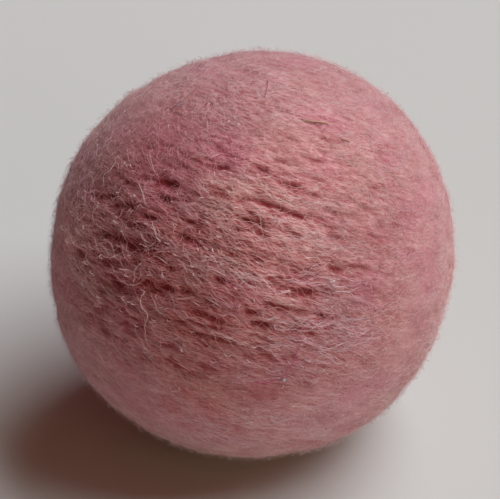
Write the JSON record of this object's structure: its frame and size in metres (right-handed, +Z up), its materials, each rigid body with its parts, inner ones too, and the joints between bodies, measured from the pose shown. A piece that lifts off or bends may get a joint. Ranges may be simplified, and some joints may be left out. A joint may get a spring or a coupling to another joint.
{
  "type": "felt ball",
  "caption": "Solid ball of felted wool, slightly out of round, with short furrows along its winding and a small flat spot to rest on; a craft bead, filler or toy ball.",
  "frame": {"origin": "middle of the ball's underside, on the surface that it rests on", "axes": "+Z up, out of the surface; -Y towards the front, the side with the deepest furrows"},
  "size_m": [0.0356, 0.0362, 0.0355],
  "materials": {
    "felted_wool": "matt felted wool in dusty pink, with a soft nap of loose fibres"
  },
  "bodies": {
    "root": {"felt_ball": "felted_wool"}
  },
  "joints": []
}
